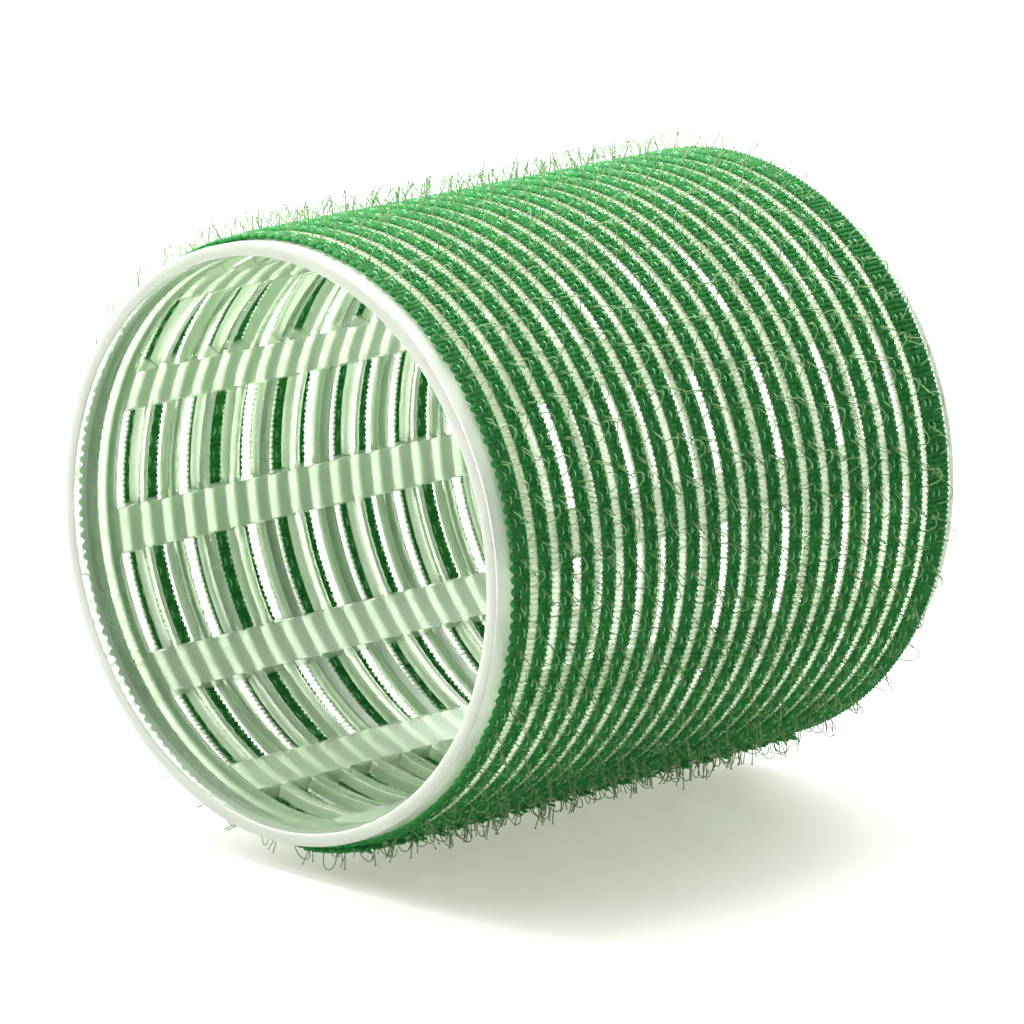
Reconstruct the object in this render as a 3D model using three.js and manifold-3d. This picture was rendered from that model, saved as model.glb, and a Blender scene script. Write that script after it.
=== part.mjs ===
// Self-grip hair roller, lying on its side.
// Millimetres, +Z up. The roller's axis runs along Y, its front mouth faces -Y, and the origin is
// under the middle of the roller, on the plane that it rests on.

import * as THREE from 'three';
import { mergeVertices } from 'three/addons/utils/BufferGeometryUtils.js';
import Module from 'manifold-3d';

const wasm = await Module();
wasm.setup();

// ---- Driving dimensions -------------------------------------------------------------------

const CORE_RADIUS = 30;           // outside of the moulded core
const CORE_WALL = 1.35;
const RIM_CHAMFER = 0.3;
const TAPE_WIDTH = 63;            // hook tape, along the roller
const FRONT_MARGIN = 2.2;         // bare core in front of the tape
const REAR_MARGIN = 1.6;          // bare core behind the tape
const ROUND_SEGMENTS = 36;

const SLOT_ROWS = 12;             // rows around the core
const SLOTS_PER_ROW = 13;
const SLOT_PITCH = 4.32;          // along the roller
const SLOT_WIDTH = 2.8;           // along the roller
const SLOT_ARC = 20.7;            // degrees around the roller
const FIRST_ROW_ANGLE = -6.3;     // degrees from +X towards +Z, middle of a row

const LAYER_GAP = 0.05;           // clearance between neighbouring layers
const WEFT_THICKNESS = 0.3;
const WARP_THICKNESS = 0.3;
const BAND_COUNT = 19;            // warp bands between the two selvedges
const BAND_PITCH = 3;
const BAND_WIDTH = 1.7;
const FIRST_BAND = 4.15;          // middle of band 1, from the tape's front edge
const FRONT_SELVEDGE_WIDTH = 2.1;
const REAR_SELVEDGE_WIDTH = 2.9;

const SEAM_FLAT = 7.2;            // the part of the lap that is pressed flat, across the roller
const SEAM_FACETS = 2;            // the lap goes on past the flat, up to this facet from the bottom
const SEAM_THICKNESS = 0.7;       // one more layer of tape
const SEAM_INSET = 0.2;           // the lap stops this far inside the tape's edges

// ---- Derived places -----------------------------------------------------------------------

const LENGTH = FRONT_MARGIN + TAPE_WIDTH + REAR_MARGIN;
const FRONT = -LENGTH / 2;
const REAR = LENGTH / 2;
const TAPE_FRONT = FRONT + FRONT_MARGIN;
const TAPE_REAR = REAR - REAR_MARGIN;

const WEFT_INNER = CORE_RADIUS + LAYER_GAP;
const WEFT_OUTER = WEFT_INNER + WEFT_THICKNESS;
const WARP_INNER = WEFT_OUTER + LAYER_GAP;
const TAPE_RADIUS = WARP_INNER + WARP_THICKNESS;
const SEAM_INNER = TAPE_RADIUS + LAYER_GAP;
const AXIS_HEIGHT = SEAM_INNER + SEAM_THICKNESS;

// ---- Materials ----------------------------------------------------------------------------

const milkyPlastic = () => new THREE.MeshStandardMaterial({ color: 0xe4e8dc, roughness: 0.35, metalness: 0 });
const greenYarn = () => new THREE.MeshStandardMaterial({ color: 0x1f7a34, roughness: 0.6, metalness: 0 });
const naturalYarn = () => new THREE.MeshStandardMaterial({ color: 0xe6e4c6, roughness: 0.65, metalness: 0 });

// ---- Building blocks ----------------------------------------------------------------------

const degrees = (angle) => angle * Math.PI / 180;

// A mesh's triangles as a manifold-3d solid.
function toSolid(geometry) {
  const bare = geometry.clone();
  bare.deleteAttribute('normal');
  bare.deleteAttribute('uv');
  const merged = mergeVertices(bare, 1e-5);
  return new wasm.Manifold(new wasm.Mesh({
    numProp: 3,
    vertProperties: new Float32Array(merged.attributes.position.array),
    triVerts: new Uint32Array(merged.index.array),
  }));
}

function toGeometry(solid) {
  const { vertProperties, triVerts } = solid.getMesh();
  const geometry = new THREE.BufferGeometry();
  geometry.setAttribute('position', new THREE.BufferAttribute(new Float32Array(vertProperties), 3));
  geometry.setIndex(new THREE.BufferAttribute(new Uint32Array(triVerts), 1));
  return geometry;
}

// A ring about the Y axis, turned from a closed section: [radius, y] points.
function ring(section) {
  const points = section.map(([radius, y]) => new THREE.Vector2(radius, y));
  points.push(points[0].clone());
  return new THREE.LatheGeometry(points, ROUND_SEGMENTS);
}

// A plain rectangular ring between two radii and two places along the roller.
function bandRing(inner, outer, from, to) {
  return ring([[inner, from], [outer, from], [outer, to], [inner, to]]);
}

// ---- Core ---------------------------------------------------------------------------------

// One slot's cutter, standing across the wall at the given angle around the roller.
function slotCutter(angle, middle) {
  const tangential = 2 * CORE_RADIUS * Math.sin(degrees(SLOT_ARC / 2));
  const radial = 4 * CORE_WALL;
  const box = new THREE.BoxGeometry(radial, SLOT_WIDTH, tangential);
  box.translate(CORE_RADIUS - CORE_WALL / 2, middle, 0);
  box.rotateY(-degrees(angle));
  return toSolid(box);
}

function coreGeometry() {
  const inner = CORE_RADIUS - CORE_WALL;
  const chamfer = RIM_CHAMFER;
  let core = toSolid(ring([
    [inner, FRONT + chamfer], [inner + chamfer, FRONT],
    [CORE_RADIUS - chamfer, FRONT], [CORE_RADIUS, FRONT + chamfer],
    [CORE_RADIUS, REAR - chamfer], [CORE_RADIUS - chamfer, REAR],
    [inner + chamfer, REAR], [inner, REAR - chamfer],
  ]));
  for (let row = 0; row < SLOT_ROWS; row += 1) {
    const angle = FIRST_ROW_ANGLE + row * 360 / SLOT_ROWS;
    for (let slot = 0; slot < SLOTS_PER_ROW; slot += 1) {
      const middle = (slot - (SLOTS_PER_ROW - 1) / 2) * SLOT_PITCH;
      core = core.subtract(slotCutter(angle, middle));
    }
  }
  return toGeometry(core);
}

// ---- Lap seam -----------------------------------------------------------------------------

// The second layer of tape, where its two ends overlap and are welded together. Its inner side
// follows the facets of the tape below it. Its outer side is pressed flat under the roller, and
// goes on round it to the tape's cut end.
function seamGeometry() {
  const half = SEAM_FLAT / 2;
  const facet = degrees(360 / ROUND_SEGMENTS);
  const onCircle = (radius, count) => [
    radius * Math.sin(count * facet), -radius * Math.cos(count * facet),
  ];
  const outline = [[-half, -AXIS_HEIGHT], [half, -AXIS_HEIGHT]];
  for (let count = 1; count <= SEAM_FACETS; count += 1) outline.push(onCircle(AXIS_HEIGHT, count));
  for (let count = SEAM_FACETS; count >= 0; count -= 1) outline.push(onCircle(SEAM_INNER, count));
  outline.push([-half, -(SEAM_INNER - half * Math.tan(facet / 2))]);

  const section = new THREE.Shape(outline.map(([x, z]) => new THREE.Vector2(x, z)));
  const depth = TAPE_WIDTH - 2 * SEAM_INSET;
  const geometry = new THREE.ExtrudeGeometry(section, { depth, bevelEnabled: false });
  geometry.rotateX(Math.PI / 2);
  geometry.translate(0, TAPE_REAR - SEAM_INSET, 0);
  return geometry;
}

// ---- Assembly -----------------------------------------------------------------------------

const roller = new THREE.Group();

const axis = new THREE.Group();   // the roller's own axis, above the plane that it rests on
axis.position.z = AXIS_HEIGHT;
roller.add(axis);

function addPiece(name, geometry, material) {
  const mesh = new THREE.Mesh(geometry, material);
  mesh.name = name;
  axis.add(mesh);
}

addPiece('core', coreGeometry(), milkyPlastic());
addPiece('weft_ground', bandRing(WEFT_INNER, WEFT_OUTER, TAPE_FRONT, TAPE_REAR), naturalYarn());

const frontSelvedgeEnd = TAPE_FRONT + FRONT_SELVEDGE_WIDTH;
const rearSelvedgeStart = TAPE_REAR - REAR_SELVEDGE_WIDTH;
addPiece('front_selvedge', bandRing(WARP_INNER, TAPE_RADIUS, TAPE_FRONT, frontSelvedgeEnd), greenYarn());
addPiece('rear_selvedge', bandRing(WARP_INNER, TAPE_RADIUS, rearSelvedgeStart, TAPE_REAR), greenYarn());

for (let band = 0; band < BAND_COUNT; band += 1) {
  const middle = TAPE_FRONT + FIRST_BAND + band * BAND_PITCH;
  const number = String(band + 1).padStart(2, '0');
  const geometry = bandRing(WARP_INNER, TAPE_RADIUS, middle - BAND_WIDTH / 2, middle + BAND_WIDTH / 2);
  addPiece(`warp_band_${number}`, geometry, greenYarn());
}

addPiece('lap_seam', seamGeometry(), greenYarn());

export default roller;
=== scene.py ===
"""Self-grip hair roller: a slotted milky core wrapped in woven hook tape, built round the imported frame.

The roller's axis runs along Y and its front mouth faces -Y. Angles round it are counted in degrees
from +X towards +Z. Lengths are in metres; MM turns millimetres into metres.
"""

import math

import bpy
import numpy as np
from mathutils import Matrix, Vector


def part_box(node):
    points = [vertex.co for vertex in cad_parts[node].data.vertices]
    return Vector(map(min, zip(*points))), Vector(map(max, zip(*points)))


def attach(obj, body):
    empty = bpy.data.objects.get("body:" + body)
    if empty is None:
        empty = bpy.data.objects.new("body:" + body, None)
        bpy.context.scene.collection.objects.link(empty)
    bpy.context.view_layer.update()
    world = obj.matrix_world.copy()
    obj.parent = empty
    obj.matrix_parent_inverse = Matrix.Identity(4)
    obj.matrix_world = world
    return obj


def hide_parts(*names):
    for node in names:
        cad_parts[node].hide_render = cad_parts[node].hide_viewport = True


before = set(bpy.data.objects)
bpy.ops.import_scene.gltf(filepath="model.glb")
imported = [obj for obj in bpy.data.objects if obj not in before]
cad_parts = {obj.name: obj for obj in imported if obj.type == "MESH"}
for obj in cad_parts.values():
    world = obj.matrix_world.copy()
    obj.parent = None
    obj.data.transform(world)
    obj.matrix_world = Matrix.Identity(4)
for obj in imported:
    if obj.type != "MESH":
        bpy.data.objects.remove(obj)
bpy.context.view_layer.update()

MM = 0.001

# ---- Places taken from the frame ------------------------------------------------------------

core_low, core_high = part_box("core")
AXIS_Z = (core_low.z + core_high.z) / 2
CORE_RADIUS = (core_high.x - core_low.x) / 2
FRONT_Y, REAR_Y = core_low.y, core_high.y
weft_low, weft_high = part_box("weft_ground")
TAPE_FRONT, TAPE_REAR = weft_low.y, weft_high.y

WARP_BANDS = sorted(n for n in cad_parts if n.startswith("warp_band_"))
BAND_NODES = ["front_selvedge", *WARP_BANDS, "rear_selvedge"]

# ---- Core ------------------------------------------------------------------------------------

CORE_WALL = 1.35 * MM
SLOT_ROWS = 12                    # round the core
SLOTS_PER_ROW = 13
SLOT_PITCH = 4.32 * MM            # along the roller
SLOT_WIDTH = 2.8 * MM             # along the roller
SLOT_ARC = 20.7                   # degrees round the roller
FIRST_ROW_ANGLE = -6.3            # the middle of one row
SLOT_STEPS = 8                    # the mesh's steps round one row
BESIDE_EDGE = 0.26 * MM           # a line of the mesh beside each edge keeps the faces flat
BESIDE_ROW = 0.5                  # the same beside a row of slots, in degrees
EDGE_ROUNDING = 0.16 * MM

# ---- Hook tape --------------------------------------------------------------------------------

PICK = 0.57 * MM                  # one weft yarn to the next, round the roller
WEFT_HEIGHT = 0.29 * MM           # middle of the weft above the core
WEFT_HALF = (0.255 * MM, 0.13 * MM)        # half of a yarn's width and of its height
WEFT_BOXINESS = 0.6               # 1 is an oval section, and less is nearer a rectangle
WEFT_SHORT = 0.5 * MM             # the straight weft ends this far inside the tape's edges
DYED_INSET = 0.12 * MM            # the weft is green from this far inside a band's edge

WARP_HALF = (0.15 * MM, 0.14 * MM)         # the same of a warp end
WARP_SPREAD = 0.4                 # how much wider a warp end is where it lies over a pick
EDGE_SPREAD = 0.1                 # the same for the two ends at each edge of a band
WARP_OVER = 0.43 * MM             # the warp's middle above the weft's, over a pick
WARP_UNDER = 0.13 * MM            # and below it, under a pick
SELVEDGE_OVER = 0.24 * MM         # the front selvedge is woven flatter
WARP_PITCH = 0.26 * MM            # one warp end to the next
EDGE_PAIR = 0.07 * MM             # the two ends at a band's edge lie this close together
EDGE_DROP = 0.07 * MM             # the outermost ends lie this much lower over a pick
FRAYED = (0.1, 1.3)               # millimetres that the warp ends stand past the last pick at the cut
YARN_SIDES = 6

HEIGHT_JITTER = 0.012 * MM        # no yarn runs quite straight
WARP_JITTER = 0.014 * MM
WEFT_JITTER = 0.008 * MM
FRAY_JITTER = 0.12 * MM
WIDTH_JITTER = (0.95, 1.05)

LAP_START = 276.0                 # the tape's lower end
LAP_END = 290.0                   # its upper end, one turn later
LAP_RAMP = 7.0                    # the upper layer climbs over this many degrees
LAP_RISE = 0.45 * MM
END_ARC = 3.0                     # the upper end stands off the roller over this many degrees
END_RISE = 0.25 * MM

# ---- Hooks and the monofilaments that they are part of ------------------------------------------

HOOK_RADIUS = 0.06 * MM
HOOK_SIDES = 5
HOOK_EVERY = 8                    # picks from one hook to the next on one monofilament
HOOK_COLUMN = 0.4 * MM            # the two monofilaments stand this far each side of a band's middle
REAR_HOOKS = 0.85 * MM            # middle of the rear selvedge's hooks, from its front edge
HOOK_FOOT = 0.12 * MM             # the hooks leave the weave this far above the weft's middle
FIRST_HOOK = LAP_END + 3          # before this angle, the upper layer covers them
TIP_SWELLING = 1.35               # a cut tip is this much thicker

ARCH_RINGS = 17
ARCH_HALF_WIDTHS = (0.68, 0.95)   # this line and the next five are in millimetres
ARCH_HEIGHTS = (1.75, 2.35)
LEG_HEIGHTS = (1.5, 2.5)
FLOAT_OVER = 0.5                  # how far a float stands off the weft's middle, over the picks
FLOAT_UNDER = 0.26                # and under them
SELVEDGE_FLOAT_OVER = 0.3

# ---- Stage ---------------------------------------------------------------------------------------

FLOOR_Z = -1.5 * MM               # the roller stands on its hooks
FLOOR_HALF = 4.0
SKY_DIM, SKY_BRIGHT = 0.44, 6.2   # the white all round, at its dimmest and at its brightest
SKY_TOWARDS = (-0.85, 0.45, 0.35)
KEY_PLACE = (-0.5, 0.02, 1.3)
KEY_TARGET = (0, 0, 0.03)
KEY_SIZE = 0.8
KEY_WATTS = 28

CAMERA_AZIMUTH = 43.67
CAMERA_ELEVATION = 13.394
CAMERA_ROLL = 0.445
CAMERA_AIM = 32 * MM              # behind the roller's front, on its axis
CAMERA_DISTANCE = 877.565 * MM
CAMERA_ASIDE = 1.06 * MM
CAMERA_RAISED = -1.84 * MM
CAMERA_LENS = 307.125             # millimetres, on a sensor 36 mm wide


# ---- Mesh making -------------------------------------------------------------------------------

def enclosed_volume(points, faces):
    """Six times the volume inside the faces: below zero when they are turned inwards."""
    total = 0.0
    for corners in faces:
        first = points[corners[:, 0]]
        for k in range(1, corners.shape[1] - 1):
            crossed = np.cross(points[corners[:, k]], points[corners[:, k + 1]])
            total += float((first * crossed).sum())
    return total


def make_object(name, points, faces, materials, face_material=None, smooth=True, closed=True):
    """A mesh object from arrays: points (n, 3) and faces, a list of (m, k) index arrays."""
    mesh = bpy.data.meshes.new(name)
    points = np.asarray(points, float)
    faces = [np.asarray(f, np.int32) for f in faces if len(f)]
    if closed and enclosed_volume(points, faces) < 0:
        faces = [f[:, ::-1] for f in faces]
    corners = np.concatenate([f.ravel() for f in faces])
    sizes = np.concatenate([np.full(len(f), f.shape[1], np.int32) for f in faces])
    mesh.vertices.add(len(points))
    mesh.vertices.foreach_set("co", np.asarray(points, np.float32).ravel())
    mesh.loops.add(len(corners))
    mesh.loops.foreach_set("vertex_index", corners)
    mesh.polygons.add(len(sizes))
    starts = np.concatenate([[0], np.cumsum(sizes)[:-1]]).astype(np.int32)
    mesh.polygons.foreach_set("loop_start", starts)
    mesh.polygons.foreach_set("loop_total", sizes)
    for material in materials:
        mesh.materials.append(material)
    if face_material is not None:
        mesh.polygons.foreach_set("material_index", np.asarray(face_material, np.int32))
    mesh.polygons.foreach_set("use_smooth", np.full(len(sizes), smooth))
    mesh.update(calc_edges=True)
    mesh.validate()
    obj = bpy.data.objects.new(name, mesh)
    bpy.context.scene.collection.objects.link(obj)
    return obj


def circle(sides):
    """Angles of the corners of a tube's section."""
    return np.arange(sides) / sides * 2 * np.pi


def tube_faces(tubes, rings, sides, first=0):
    """Quads round each tube and a cap on each of its ends, for points laid out [tube, ring, side]."""
    index = first + np.arange(tubes * rings * sides).reshape(tubes, rings, sides)
    a, b = index[:, :-1], index[:, 1:]
    quads = np.stack([a, np.roll(a, -1, 2), np.roll(b, -1, 2), b], -1).reshape(-1, 4)
    caps = np.concatenate([index[:, 0, ::-1], index[:, -1]])
    return quads, caps


def sweep_tube(path, radius, sides):
    """Rings of points round each path [tube, ring, 3]."""
    along = np.gradient(path, axis=1)
    along /= np.linalg.norm(along, axis=2, keepdims=True)
    reference = np.array([0.05, 1.0, 0.05])
    first = np.cross(along, reference)
    first /= np.linalg.norm(first, axis=2, keepdims=True)
    second = np.cross(along, first)
    turn = circle(sides)
    ring = first[:, :, None] * np.cos(turn)[:, None] + second[:, :, None] * np.sin(turn)[:, None]
    return path[:, :, None] + ring * radius[None, :, None, None]


def on_roller(angle, y, radius):
    """Points at those angles (radians) round the roller, places along it and distances from its axis."""
    x, z = radius * np.cos(angle), AXIS_Z + radius * np.sin(angle)
    return np.stack(np.broadcast_arrays(x, y, z), -1)


# ---- The tape's own frame ----------------------------------------------------------------------

def smooth_step(t):
    t = np.clip(t, 0, 1)
    return t * t * (3 - 2 * t)


def tape_radius(angle):
    """Distance of the tape's inner side from the axis: it climbs over its own start at the lap."""
    climb = smooth_step((angle - np.radians(LAP_START + 360 - LAP_RAMP)) / np.radians(LAP_RAMP))
    lift = smooth_step((angle - np.radians(LAP_END + 360 - END_ARC)) / np.radians(END_ARC))
    return CORE_RADIUS + LAP_RISE * climb + END_RISE * lift


def on_tape(angle, y, height):
    return on_roller(angle, y, tape_radius(angle) + height)


TAPE_STEP = PICK / (CORE_RADIUS + WEFT_HEIGHT)     # one pick, in radians
TAPE_FROM = math.radians(LAP_START)
TAPE_TO = math.radians(LAP_END + 360)
PICKS = int((TAPE_TO - TAPE_FROM) / TAPE_STEP)


def band_span(node):
    """Where a band begins and ends along the roller."""
    low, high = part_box(node)
    return low.y, high.y


def hook_columns():
    """Each band's two monofilaments, as places along the roller."""
    columns = []
    for node in BAND_NODES:
        low, high = band_span(node)
        middle = low + REAR_HOOKS if node == "rear_selvedge" else (low + high) / 2
        columns.append((middle + HOOK_COLUMN, middle - HOOK_COLUMN))
    return columns


# ---- Materials ---------------------------------------------------------------------------------

def new_material(name):
    material = bpy.data.materials.new(name)
    material.use_nodes = True
    tree = material.node_tree
    shader = next(n for n in tree.nodes if n.type == "BSDF_PRINCIPLED")
    output = next(n for n in tree.nodes if n.type == "OUTPUT_MATERIAL")
    return material, tree, shader, output.inputs["Surface"]


def noise(tree, scale, detail=2.0):
    coords = tree.nodes.new("ShaderNodeTexCoord")
    node = tree.nodes.new("ShaderNodeTexNoise")
    node.inputs["Scale"].default_value = scale
    node.inputs["Detail"].default_value = detail
    tree.links.new(coords.outputs["Object"], node.inputs["Vector"])
    return node.outputs["Fac"]


def ramp(tree, value, stops):
    node = tree.nodes.new("ShaderNodeValToRGB")
    while len(node.color_ramp.elements) < len(stops):
        node.color_ramp.elements.new(0.5)
    for element, (place, colour) in zip(node.color_ramp.elements, stops):
        element.position = place
        element.color = (*colour, 1)
    tree.links.new(value, node.inputs["Fac"])
    return node.outputs["Color"]


def bump(tree, shader, height, strength, distance):
    node = tree.nodes.new("ShaderNodeBump")
    node.inputs["Strength"].default_value = strength
    node.inputs["Distance"].default_value = distance
    tree.links.new(height, node.inputs["Height"])
    tree.links.new(node.outputs["Normal"], shader.inputs["Normal"])


def grey(value):
    return (value, value, value)


def mix_shaders(tree, share, first, second):
    """Two shaders in one. share, the second one's, is a number or another node's output."""
    mix = tree.nodes.new("ShaderNodeMixShader")
    if isinstance(share, float):
        mix.inputs["Fac"].default_value = share
    else:
        tree.links.new(share, mix.inputs["Fac"])
    tree.links.new(first, mix.inputs[1])
    tree.links.new(second, mix.inputs[2])
    return mix.outputs["Shader"]


def let_light_through(tree, shader, surface, glow, share, straight):
    """A fibre passes light on, coloured by glow, and straight of what is behind it is seen through it."""
    translucent = tree.nodes.new("ShaderNodeBsdfTranslucent")
    translucent.inputs["Color"].default_value = (*glow, 1)
    mixed = mix_shaders(tree, share, shader.outputs["BSDF"], translucent.outputs["BSDF"])
    if straight > 0:
        clear = tree.nodes.new("ShaderNodeBsdfTransparent")
        mixed = mix_shaders(tree, straight, mixed, clear.outputs["BSDF"])
    tree.links.new(mixed, surface)


def make_yarn(name, dark, mid, light, roughness, specular, glow, share, straight=0.0):
    """Multi-filament yarn: its colour wanders along it, and fine filaments break up its surface."""
    material, tree, shader, surface = new_material(name)
    colour = ramp(tree, noise(tree, 900, 3), [(0.3, dark), (0.5, mid), (0.72, light)])
    tree.links.new(colour, shader.inputs["Base Color"])
    rough = ramp(tree, noise(tree, 2200), [(0.3, grey(roughness - 0.1)), (0.7, grey(roughness + 0.15))])
    tree.links.new(rough, shader.inputs["Roughness"])
    shader.inputs["Specular IOR Level"].default_value = specular
    bump(tree, shader, noise(tree, 6000), 0.5, 0.03 * MM)
    let_light_through(tree, shader, surface, glow, share, straight)
    return material


def make_monofilament(name, low, high, roughness, glow, share, straight=0.0):
    """Single thick filaments, smoother and clearer than yarn."""
    material, tree, shader, surface = new_material(name)
    colour = ramp(tree, noise(tree, 300), [(0.35, low), (0.65, high)])
    tree.links.new(colour, shader.inputs["Base Color"])
    rough = ramp(tree, noise(tree, 700), [(0.35, grey(roughness)), (0.65, grey(roughness + 0.12))])
    tree.links.new(rough, shader.inputs["Roughness"])
    shader.inputs["IOR"].default_value = 1.5
    let_light_through(tree, shader, surface, glow, share, straight)
    return material


def make_hook_tip():
    """The dark cut ends of the hooks."""
    material, tree, shader, _ = new_material("cut_hook_tip")
    colour = ramp(tree, noise(tree, 2000), [(0.3, (0.006, 0.02, 0.008)), (0.7, (0.02, 0.06, 0.02))])
    tree.links.new(colour, shader.inputs["Base Color"])
    shader.inputs["Roughness"].default_value = 0.6
    return material


def make_milky_plastic(name, clear, low, high, tint, spreading=0.12):
    """Natural polypropylene: milky, and clear enough to show the tape behind it as a soft pattern.

    clear is the part of it that is see-through. tint is what that part does to the light, and
    spreading is how rough it is, which blurs what is behind it.
    """
    material, tree, shader, surface = new_material(name)
    colour = ramp(tree, noise(tree, 90, 3), [(0.3, low), (0.7, high)])
    tree.links.new(colour, shader.inputs["Base Color"])
    rough = ramp(tree, noise(tree, 500, 3), [(0.3, grey(0.3)), (0.7, grey(0.42))])
    tree.links.new(rough, shader.inputs["Roughness"])
    shader.inputs["Subsurface Weight"].default_value = 1.0
    shader.inputs["Subsurface Radius"].default_value = (1.0, 1.1, 0.9)
    shader.inputs["Subsurface Scale"].default_value = 0.5 * MM
    unbent = tree.nodes.new("ShaderNodeBsdfTransparent")
    unbent.inputs["Color"].default_value = (*tint, 1)
    bent = tree.nodes.new("ShaderNodeBsdfGlass")
    bent.inputs["Color"].default_value = (*tint, 1)
    bent.inputs["Roughness"].default_value = spreading
    bent.inputs["IOR"].default_value = 1.45
    unbent_share = ramp(tree, noise(tree, 60), [(0.3, grey(0.08)), (0.7, grey(0.16))])
    see_through = mix_shaders(tree, unbent_share, bent.outputs["BSDF"], unbent.outputs["BSDF"])
    share = ramp(tree, noise(tree, 40), [(0.3, grey(clear - 0.015)), (0.7, grey(clear + 0.015))])
    tree.links.new(mix_shaders(tree, share, shader.outputs["BSDF"], see_through), surface)
    return material


GREEN_YARN = make_yarn(
    "green_yarn", (0.031, 0.148, 0.044), (0.048, 0.212, 0.066), (0.075, 0.295, 0.1),
    roughness=0.5, specular=0.3, glow=(0.12, 0.7, 0.27), share=0.58,
)
NATURAL_YARN = make_yarn(
    "natural_yarn", (0.74, 0.76, 0.49), (0.85, 0.87, 0.61), (0.92, 0.93, 0.72),
    roughness=0.55, specular=0.3, glow=(0.98, 0.98, 0.93), share=0.7, straight=0.66,
)
# Painted shade: the weft's sides get darker colours and let less light through, for the shade between one
# pick and the next.
NATURAL_YARN_PAINTED_SHADE = make_yarn(
    "natural_yarn_painted_shade", (0.46, 0.48, 0.33), (0.55, 0.58, 0.41), (0.63, 0.66, 0.48),
    roughness=0.6, specular=0.2, glow=(0.78, 0.8, 0.67), share=0.6, straight=0.5,
)
HOOK_MONOFILAMENT = make_monofilament(
    "hook_monofilament", (0.14, 0.26, 0.11), (0.22, 0.38, 0.17),
    roughness=0.26, glow=(0.42, 0.62, 0.34), share=0.4, straight=0.14,
)
# Partly real gloss, partly painted highlight: the same monofilament as the hooks, in much paler colours,
# for the glints where it floats over the weft.
MONOFILAMENT_PAINTED_GLINTS = make_monofilament(
    "woven_monofilament_painted_glints", (0.25, 0.65, 0.32), (0.5, 0.85, 0.55),
    roughness=0.06, glow=(0.4, 0.9, 0.45), share=0.3,
)
HOOK_TIP = make_hook_tip()

# Painted light: under the tape the plastic's colours and tint are green, for the green light of the yarns
# in it. At its bare ends they are not.
PAINTED_GREEN_LIGHT = {"low": (0.78, 0.93, 0.73), "high": (0.84, 0.96, 0.79), "tint": (0.935, 1.0, 0.915)}
NEUTRAL = {"low": (0.8, 0.83, 0.77), "high": (0.85, 0.87, 0.81), "tint": (0.98, 0.99, 0.97)}
# Painted shade: the end faces get a much darker copy of the plastic's colours, for the shade on them.
RIM_PAINTED_SHADE = {"low": (0.52, 0.54, 0.49), "high": (0.57, 0.59, 0.54), "tint": (0.98, 0.99, 0.97)}

# The core's materials, and their places in the list.
CORE_MATERIALS = [
    make_milky_plastic("milky_plastic", 0.88, **PAINTED_GREEN_LIGHT),
    make_milky_plastic("milky_plastic_slot_walls", 0.64, **PAINTED_GREEN_LIGHT),
    make_milky_plastic("milky_plastic_rims_painted_shade", 0.2, **RIM_PAINTED_SHADE),
    make_milky_plastic("milky_plastic_bars", 0.72, spreading=0.24, **PAINTED_GREEN_LIGHT),
    make_milky_plastic("milky_plastic_bare_ends", 0.66, **NEUTRAL),
    make_milky_plastic("milky_plastic_mouths", 0.9, **NEUTRAL),
]
PLASTIC, SLOT_WALL, END_FACE, BAR, BARE_OUTSIDE, BARE_INSIDE = range(6)


# ---- Core piece --------------------------------------------------------------------------------

def core_angles():
    """Angles of the core's grid lines, and which cells between them lie in a row of slots."""
    bar = 360 / SLOT_ROWS - SLOT_ARC
    bar_lines = [0, BESIDE_ROW, bar * 0.37, bar * 0.63, bar - BESIDE_ROW]
    lines, in_row = [], []
    for row in range(SLOT_ROWS):
        start = FIRST_ROW_ANGLE - SLOT_ARC / 2 + row * 360 / SLOT_ROWS
        lines += [start + SLOT_ARC * k / SLOT_STEPS for k in range(SLOT_STEPS)]
        lines += [start + SLOT_ARC + line for line in bar_lines]
        in_row += [True] * SLOT_STEPS + [False] * len(bar_lines)
    return np.radians(lines), np.array(in_row)


def core_places():
    """Places of the core's grid lines along the roller, and which cells between them are slots."""
    middle = (FRONT_Y + REAR_Y) / 2
    first = middle - (SLOTS_PER_ROW - 1) / 2 * SLOT_PITCH - SLOT_WIDTH / 2
    lines = [FRONT_Y, FRONT_Y + BESIDE_EDGE, TAPE_FRONT + BESIDE_EDGE]
    open_cells = [False] * 3
    for slot in range(SLOTS_PER_ROW):
        start = first + slot * SLOT_PITCH
        lines += [start - BESIDE_EDGE, start, start + SLOT_WIDTH, start + SLOT_WIDTH + BESIDE_EDGE]
        open_cells += [False, True, False, False]
    lines += [TAPE_REAR - BESIDE_EDGE, REAR_Y - BESIDE_EDGE, REAR_Y]
    open_cells += [False] * 2
    return np.array(lines), np.array(open_cells)


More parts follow.
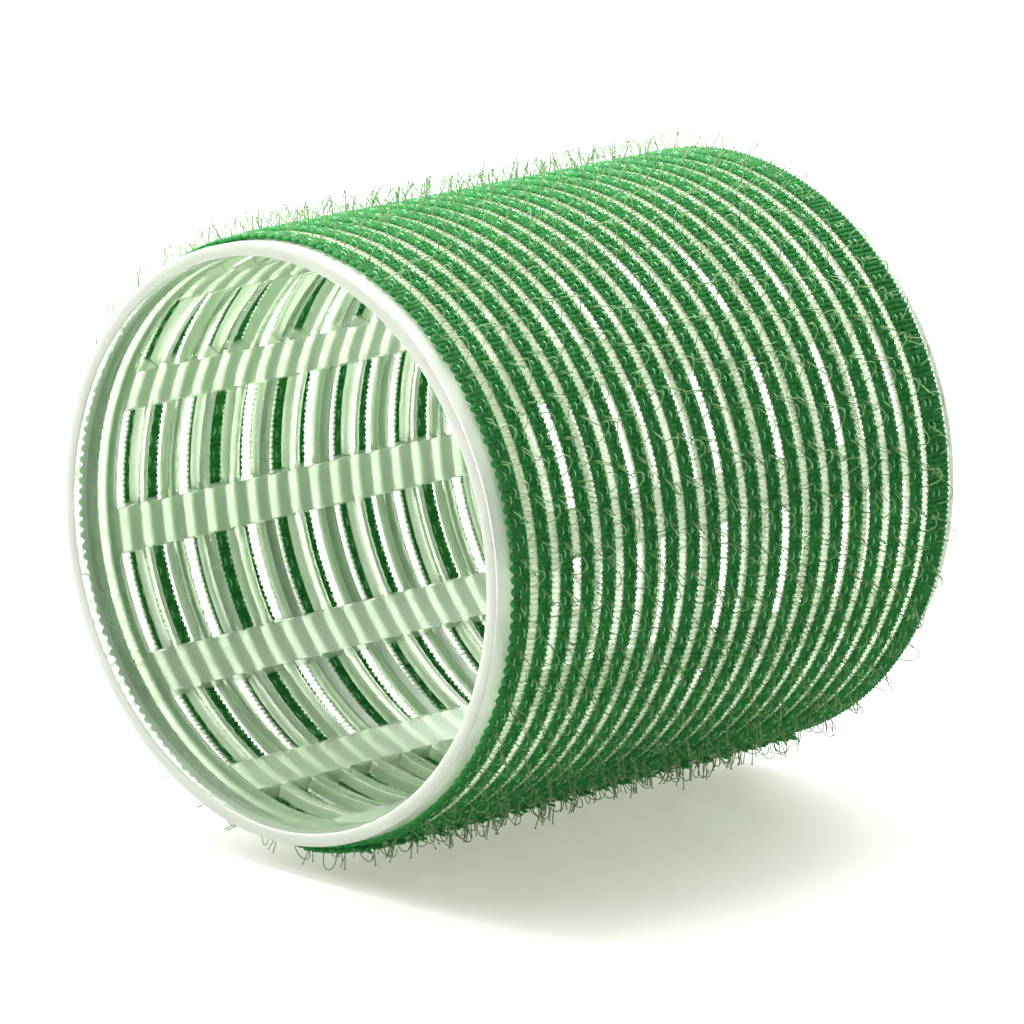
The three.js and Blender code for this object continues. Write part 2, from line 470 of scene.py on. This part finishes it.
def make_core():
    """The core as one mesh: an outer and an inner grid of cells, with walls round every slot."""
    angles, in_row = core_angles()
    places, open_cells = core_places()
    columns, rows = len(angles), len(places)
    points = np.stack([
        on_roller(angles[:, None], places[None], CORE_RADIUS),
        on_roller(angles[:, None], places[None], CORE_RADIUS - CORE_WALL),
    ]).reshape(-1, 3)
    solid = ~(in_row[:, None] & open_cells[None])
    outer, inner = np.arange(2 * columns * rows).reshape(2, columns, rows)
    outer_next, inner_next = np.roll(outer, -1, 0), np.roll(inner, -1, 0)

    cells = np.stack([outer[:, :-1], outer_next[:, :-1], outer_next[:, 1:], outer[:, 1:]], -1)
    faces = [cells[solid]]
    cells = np.stack([inner[:, 1:], inner_next[:, 1:], inner_next[:, :-1], inner[:, :-1]], -1)
    faces.append(cells[solid])
    round_faces = sum(len(f) for f in faces)

    # Walls across the roller: first the front end face, then the slots' ends, last the rear face.
    padded = np.pad(solid, ((0, 0), (1, 1)))
    for line in range(rows):
        before, after = padded[:, line], padded[:, line + 1]
        wall = np.stack([outer[:, line], outer_next[:, line], inner_next[:, line], inner[:, line]], -1)
        faces.append(wall[after & ~before][:, ::-1])
        faces.append(wall[before & ~after])
    rear_face = sum(len(f) for f in faces) - columns

    # Walls along the roller, on both sides of every row of slots.
    behind = np.roll(solid, 1, 0)
    wall = np.stack([outer[:, :-1], outer[:, 1:], inner[:, 1:], inner[:, :-1]], -1)
    faces.append(wall[solid & ~behind][:, ::-1])
    faces.append(wall[behind & ~solid])

    bare = (places[:-1] < TAPE_FRONT) | (places[1:] > TAPE_REAR)
    slots = np.flatnonzero(open_cells)
    slotted = np.zeros(rows - 1, bool)
    slotted[slots[0]:slots[-1] + 1] = True
    under_tape = np.where(~in_row[:, None] & slotted[None], BAR, PLASTIC)
    outside = np.where(bare[None], BARE_OUTSIDE, under_tape)
    inside = np.where(bare[None], BARE_INSIDE, under_tape)
    kinds = np.full(sum(len(f) for f in faces), SLOT_WALL)
    kinds[:round_faces] = np.concatenate([outside[solid], inside[solid]])
    # The end faces take the rims' copy of the plastic, with its painted shade.
    kinds[round_faces:round_faces + columns] = END_FACE
    kinds[rear_face:rear_face + columns] = END_FACE
    core = make_object("core_moulding", points, faces, CORE_MATERIALS, kinds)
    edge = core.modifiers.new("rounded_edges", "BEVEL")
    edge.width = EDGE_ROUNDING
    edge.segments = 2
    edge.limit_method = "ANGLE"
    edge.angle_limit = math.radians(40)
    return core


core_piece = make_core()
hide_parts("core")
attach(core_piece, "root")


# ---- Woven tape --------------------------------------------------------------------------------

def make_warp(name, low, high, seed, over_height):
    """The warp ends of one band, each passing over and under the weft, and cut ragged at the lap."""
    rng = np.random.default_rng(seed)
    first, last = low + WARP_HALF[0], high - WARP_HALF[0]
    count = round((last - first) / WARP_PITCH) // 2 * 2 + 2
    between = np.linspace(first, last, count)[1:-1]
    middles = np.array([first, first + EDGE_PAIR, *between, last - EDGE_PAIR, last])
    ends, steps = len(middles), 2 * PICKS + 1
    angle = np.tile(TAPE_FROM + TAPE_STEP * np.arange(steps) / 2, (ends, 1))
    angle[:, -1] += rng.uniform(*FRAYED, ends) * MM / CORE_RADIUS

    # Even steps lie on the picks, over one and under the next. Odd steps lie between two picks.
    over = np.cos(np.pi * np.arange(steps) / 2)
    over[1::2] = 0
    over = over[None] * np.where(np.arange(ends) % 2, 1, -1)[:, None]
    swing = np.where(over > 0, over_height, WARP_UNDER) * over
    swing[:, 1::2] = (over_height - WARP_UNDER) / 2
    swing[[0, -1]] -= EDGE_DROP * (over[[0, -1]] > 0)
    swing[:, -2:] += rng.normal(0, FRAY_JITTER, (ends, 2))
    height = WEFT_HEIGHT + swing + rng.normal(0, HEIGHT_JITTER, (ends, steps))
    y = middles[:, None] + rng.normal(0, WARP_JITTER, (ends, steps))

    spread = np.full((ends, 1), WARP_SPREAD)
    spread[[0, 1, -2, -1]] = EDGE_SPREAD
    wide = WARP_HALF[0] * (1 + spread * np.abs(over)) * rng.uniform(*WIDTH_JITTER, (ends, steps))
    turn = circle(YARN_SIDES)
    ys = y[..., None] + wide[..., None] * np.cos(turn)
    heights = height[..., None] + WARP_HALF[1] * np.sin(turn)
    points = on_tape(angle[..., None], ys, heights)
    quads, caps = tube_faces(ends, steps, YARN_SIDES)
    piece = make_object(name, points.reshape(-1, 3), [quads, caps], [GREEN_YARN])
    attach(piece, "root")
    return piece


def make_weft():
    """The weft: one ribbon a pick, dyed where the warp covers it, and natural between the bands."""
    rng = np.random.default_rng(11)
    stops = []
    for node in BAND_NODES:
        low, high = band_span(node)
        stops += [low + DYED_INSET, high - DYED_INSET]
    stops[0], stops[-1] = TAPE_FRONT + WEFT_SHORT, TAPE_REAR - WEFT_SHORT
    stops = np.array(stops)
    yarns, rings = PICKS + 1, len(stops)
    angle = TAPE_FROM + TAPE_STEP * np.arange(yarns)
    angle = angle[:, None] + rng.normal(0, WEFT_JITTER, (yarns, rings)) / CORE_RADIUS
    wide = WEFT_HALF[0] * rng.uniform(*WIDTH_JITTER, (yarns, rings))
    turn = circle(YARN_SIDES)
    section = np.array([np.cos(turn), np.sin(turn)])
    section = np.sign(np.round(section, 6)) * np.abs(section) ** WEFT_BOXINESS
    angles = angle[..., None] + wide[..., None] * section[0] / CORE_RADIUS
    height = WEFT_HEIGHT + rng.normal(0, HEIGHT_JITTER, (yarns, rings))
    heights = height[..., None] + WEFT_HALF[1] * section[1]
    points = on_tape(angles, stops[None, :, None], heights)
    quads, caps = tube_faces(yarns, rings, YARN_SIDES)

    # The sides of each natural pick get the copy of the weft with painted shade.
    natural, dyed, side = 0, 1, 2
    in_band = np.arange(rings - 1) % 2 == 0
    round_section = np.array([side, natural, side, side, natural, side])
    one_yarn = np.where(in_band[:, None], dyed, round_section)
    kinds = np.concatenate([np.tile(one_yarn.ravel(), yarns), np.full(2 * yarns, dyed)])
    materials = [NATURAL_YARN, GREEN_YARN, NATURAL_YARN_PAINTED_SHADE]
    piece = make_object("weft_yarns", points.reshape(-1, 3), [quads, caps], materials, kinds)
    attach(piece, "root")
    return piece


weft_piece = make_weft()
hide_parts("weft_ground", "lap_seam")
for number, node in enumerate(BAND_NODES):
    over_height = SELVEDGE_OVER if node == "front_selvedge" else WARP_OVER
    band_piece = make_warp(f"{node}_yarns", *band_span(node), 100 + number, over_height)
    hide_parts(node)


# ---- Selvedge turns ----------------------------------------------------------------------------

def turn_points(edge_y, outward, depth, rng):
    """The weft's turns at one edge of the tape: a row of small points, one to two picks."""
    count = PICKS // 2
    middle = TAPE_FROM + TAPE_STEP * (2 * np.arange(count) + 0.5)
    across = np.array([-0.36, -0.3, -0.14, 0.0, 0.14, 0.3, 0.36]) * MM / CORE_RADIUS
    out = np.array([-0.7, -0.1, 0.72, 1.0, 0.72, -0.1, -0.7]) * depth
    thick = np.array([0.25, 0.25, 0.21, 0.14, 0.21, 0.25, 0.25]) * MM
    angle = middle[:, None] + across + rng.normal(0, 0.03 * MM, (count, 1)) / CORE_RADIUS
    y = edge_y + outward * out[None] * rng.uniform(0.75, 1.2, (count, 1))
    # The section stands across the path: mostly round the roller at the point, along it at the legs.
    run_a = np.gradient(across) * CORE_RADIUS
    run_y = np.gradient(out) * outward
    size = np.hypot(run_a, run_y)
    side_a, side_y = -run_y / size, run_a / size
    turn = circle(YARN_SIDES)
    angles = angle[..., None] + thick[None, :, None] * side_a[None, :, None] * np.cos(turn) / CORE_RADIUS
    ys = y[..., None] + thick[None, :, None] * side_y[None, :, None] * np.cos(turn)
    heights = WEFT_HEIGHT + 0.05 * MM + 0.9 * thick[None, :, None] * np.sin(turn)
    return on_tape(angles, ys, heights)


def make_turns():
    rng = np.random.default_rng(21)
    turns = np.concatenate([
        turn_points(TAPE_FRONT + 0.2 * MM, -1, 0.54 * MM, rng),
        turn_points(TAPE_REAR - 0.2 * MM, 1, 0.25 * MM, rng),
    ])
    quads, caps = tube_faces(*turns.shape[:3])
    piece = make_object("selvedge_turns", turns.reshape(-1, 3), [quads, caps], [GREEN_YARN])
    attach(piece, "root")
    return piece


turns_piece = make_turns()


# ---- Hooks -------------------------------------------------------------------------------------

def hook_starts(first_pick, rng):
    """Angles of the feet of one monofilament's hooks, left out where the upper layer covers them."""
    angle = TAPE_FROM + TAPE_STEP * (first_pick + HOOK_EVERY * np.arange(PICKS // HOOK_EVERY))
    angle = angle[angle > math.radians(FIRST_HOOK)]
    return angle + rng.normal(0, 0.08 * MM, len(angle)) / CORE_RADIUS


def slopes(degrees):
    return np.tan(np.radians(degrees))


def in_place(base, base_y, along, up, aside):
    """Points given from a hook's foot: along is round the roller, up is off it, aside is along its axis."""
    foot = tape_radius(base)[:, None] + WEFT_HEIGHT + HOOK_FOOT + up
    x = foot * np.cos(base)[:, None] - along * np.sin(base)[:, None]
    z = foot * np.sin(base)[:, None] + along * np.cos(base)[:, None]
    return np.stack([x, base_y[:, None] + aside, AXIS_Z + z], -1)


def arch_paths(column, first_pick, rng):
    """Loops of monofilament that stand up from the tape, most of them cut on their way back down."""
    base = hook_starts(first_pick, rng)
    count = len(base)
    half_width = rng.uniform(*ARCH_HALF_WIDTHS, count) * MM
    high = rng.uniform(*ARCH_HEIGHTS, count) * MM
    # How much of the whole loop is left, from foot to cut.
    left = rng.choice([1.0, 0.93, 0.86, 0.78], count, p=[0.3, 0.25, 0.25, 0.2])
    t = np.append(np.linspace(0, 0.985, ARCH_RINGS - 1), 1.0)[None] * left[:, None]
    turn = np.pi * (1.14 * t - 0.07)
    along = -np.cos(turn) * half_width[:, None] * (1 + 0.1 * np.sin(turn))
    up = high[:, None] * np.maximum(np.sin(turn), 0) ** 0.62
    up = np.where(t < 0.06, -0.2 * MM, up)
    lean = slopes(rng.normal(13, 9, count))
    tilt = slopes(rng.normal(0, 12, count))
    twist = rng.normal(0, 0.22, count)
    leaning = along + up * lean[:, None]
    aside = up * tilt[:, None] + along * twist[:, None]
    y = column + rng.normal(0, 0.05 * MM, count)
    return in_place(base, y, leaning, up, aside)


def leg_paths(column, first_pick, rng):
    """Pairs of cut, nearly straight legs."""
    base = hook_starts(first_pick, rng)
    apart = rng.normal(0.24, 0.07, len(base)) * MM
    base = np.concatenate([base, base + apart / CORE_RADIUS])
    count = len(base)
    high = rng.uniform(*LEG_HEIGHTS, count) * MM
    lean = slopes(np.tile(rng.normal(-24, 10, count // 2), 2) + rng.normal(0, 4, count))
    tilt = slopes(np.tile(rng.normal(0, 13, count // 2), 2) + rng.normal(0, 5, count))
    bend = rng.normal(-0.15, 0.3, count)
    t = np.array([[-0.1, 0.2, 0.45, 0.7, 0.955, 1.0]])
    up = high[:, None] * t
    along = up * lean[:, None] + high[:, None] * 0.35 * bend[:, None] * t ** 2
    aside = up * tilt[:, None] + high[:, None] * 0.25 * rng.normal(0, 0.4, (count, 1)) * t ** 2
    y = column + rng.normal(0, 0.05 * MM, count)
    return in_place(base, y, along, up, aside)


def make_hooks():
    """All the hooks: on each band one monofilament's loops, and the other one's cut legs between them."""
    first = 0
    points, faces, kinds = [], [], []
    for number, (arch_column, leg_column) in enumerate(hook_columns()):
        rng = np.random.default_rng(200 + number)
        shift = int(rng.integers(0, HOOK_EVERY))
        arches = arch_paths(arch_column, shift, rng)
        legs = leg_paths(leg_column, shift + HOOK_EVERY // 2, rng)
        for path in (arches, legs):
            tubes, rings = path.shape[:2]
            radius = np.full(rings, HOOK_RADIUS)
            radius[-1] = TIP_SWELLING * HOOK_RADIUS
            swept = sweep_tube(path, radius, HOOK_SIDES)
            swept[..., 2] = np.maximum(swept[..., 2], FLOOR_Z + 0.02 * MM)
            points.append(swept.reshape(-1, 3))
            faces += tube_faces(tubes, rings, HOOK_SIDES, first)
            first += tubes * rings * HOOK_SIDES
            at_tip = np.zeros((tubes, rings - 1, HOOK_SIDES), int)
            at_tip[:, -1] = 1
            kinds += [at_tip.ravel(), np.repeat([0, 1], tubes)]
    materials = [HOOK_MONOFILAMENT, HOOK_TIP]
    piece = make_object("hooks", np.concatenate(points), faces, materials, np.concatenate(kinds))
    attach(piece, "root")
    return piece


hooks_piece = make_hooks()


# ---- Monofilament floats -----------------------------------------------------------------------

def make_floats():
    """The two monofilaments of each band, where they run in the weave between their hooks, in the paler
    colours of painted glints.
    """
    rng = np.random.default_rng(31)
    steps = 2 * PICKS + 1
    angle = TAPE_FROM + TAPE_STEP * np.arange(steps) / 2
    middles = np.array(hook_columns()).ravel()
    ends = len(middles)
    phase = rng.integers(0, 4, ends)[:, None]
    # Over two picks and under two.
    wave = np.sin(np.pi * ((np.arange(steps)[None] / 2 + phase) % 4) / 2)
    over = np.sign(wave) * np.abs(wave) ** 0.5
    stand = np.full((ends, 1), FLOAT_OVER)
    stand[:2] = SELVEDGE_FLOAT_OVER
    height = WEFT_HEIGHT + np.where(over > 0, stand, FLOAT_UNDER) * MM * over
    y = middles[:, None] + rng.normal(0, 0.02 * MM, (ends, steps))
    turn = circle(HOOK_SIDES)
    ys = y[..., None] + HOOK_RADIUS * np.cos(turn)
    heights = height[..., None] + HOOK_RADIUS * np.sin(turn)
    points = on_tape(angle[None, :, None], ys, heights)
    quads, caps = tube_faces(ends, steps, HOOK_SIDES)
    piece = make_object("monofilament_floats", points.reshape(-1, 3), [quads, caps], [MONOFILAMENT_PAINTED_GLINTS])
    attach(piece, "root")
    return piece


floats_piece = make_floats()


# ---- Floor, light and camera -------------------------------------------------------------------

def make_floor():
    """A pale floor that glows a little: painted light that keeps its shadows pale and tints them
    yellow-green.
    """
    material, tree, shader, _ = new_material("studio_floor")
    colour = ramp(tree, noise(tree, 3), [(0.3, grey(0.32)), (0.7, grey(0.33))])
    tree.links.new(colour, shader.inputs["Base Color"])
    shader.inputs["Roughness"].default_value = 0.6
    shader.inputs["Specular IOR Level"].default_value = 0.2
    # Painted light: the yellow-green tint of the glow stands in for the green light that the roller passes
    # into its shadow.
    shader.inputs["Emission Color"].default_value = (0.97, 1, 0.8, 1)
    shader.inputs["Emission Strength"].default_value = 0.38
    corners = [(-1, -1), (1, -1), (1, 1), (-1, 1)]
    points = [(FLOOR_HALF * x, FLOOR_HALF * y, FLOOR_Z) for x, y in corners]
    floor = make_object("studio_floor", points, [[[0, 1, 2, 3]]], [material], smooth=False, closed=False)


def add_key_light():
    light = bpy.data.lights.new("key_softbox", "AREA")
    light.shape = "DISK"
    light.size = KEY_SIZE
    light.energy = KEY_WATTS
    obj = bpy.data.objects.new("key_softbox", light)
    bpy.context.scene.collection.objects.link(obj)
    obj.location = KEY_PLACE
    away = Vector(KEY_PLACE) - Vector(KEY_TARGET)
    obj.rotation_euler = away.to_track_quat("Z", "Y").to_euler()


def make_world():
    """White all round, brightest in one direction."""
    world = bpy.data.worlds.new("studio")
    world.use_nodes = True
    tree = world.node_tree
    background = tree.nodes["Background"]
    coords = tree.nodes.new("ShaderNodeTexCoord")
    dot = tree.nodes.new("ShaderNodeVectorMath")
    dot.operation = "DOT_PRODUCT"
    tree.links.new(coords.outputs["Generated"], dot.inputs[0])
    size = math.hypot(*SKY_TOWARDS)
    dot.inputs[1].default_value = [c / size for c in SKY_TOWARDS]
    level = tree.nodes.new("ShaderNodeMapRange")
    level.interpolation_type = "SMOOTHSTEP"
    level.inputs["From Min"].default_value = -0.1
    level.inputs["From Max"].default_value = 0.85
    level.inputs["To Min"].default_value = SKY_DIM
    level.inputs["To Max"].default_value = SKY_BRIGHT
    tree.links.new(dot.outputs["Value"], level.inputs["Value"])
    tree.links.new(level.outputs["Result"], background.inputs["Strength"])
    background.inputs["Color"].default_value = (1, 1, 1, 1)
    bpy.context.scene.world = world


def make_camera():
    azimuth, elevation = math.radians(CAMERA_AZIMUTH), math.radians(CAMERA_ELEVATION)
    roll = math.radians(CAMERA_ROLL)
    back = np.array([
        math.sin(azimuth) * math.cos(elevation),
        -math.cos(azimuth) * math.cos(elevation),
        math.sin(elevation),
    ])
    level = np.array([math.cos(azimuth), math.sin(azimuth), 0.0])
    upright = np.cross(back, level)
    right = level * math.cos(roll) + upright * math.sin(roll)
    up = upright * math.cos(roll) - level * math.sin(roll)
    target = np.array([0, FRONT_Y + CAMERA_AIM, AXIS_Z])
    place = target + back * CAMERA_DISTANCE + right * CAMERA_ASIDE + up * CAMERA_RAISED
    data = bpy.data.cameras.new("camera")
    data.sensor_width = 36
    data.lens = CAMERA_LENS
    data.clip_start = 0.01
    data.clip_end = 50
    camera = bpy.data.objects.new("camera", data)
    bpy.context.scene.collection.objects.link(camera)
    matrix = np.eye(4)
    matrix[:3, 0], matrix[:3, 1], matrix[:3, 2], matrix[:3, 3] = right, up, back, place
    camera.matrix_world = Matrix(matrix.tolist())
    bpy.context.scene.camera = camera


make_floor()
make_world()
add_key_light()
make_camera()
bpy.context.scene.view_settings.view_transform = "Standard"
# Light passes many layers of plastic and yarn on its way.
bpy.context.scene.cycles.max_bounces = 16
bpy.context.scene.cycles.transmission_bounces = 12
bpy.context.scene.cycles.diffuse_bounces = 6
bpy.context.scene.cycles.glossy_bounces = 6
bpy.context.scene.cycles.transparent_max_bounces = 24
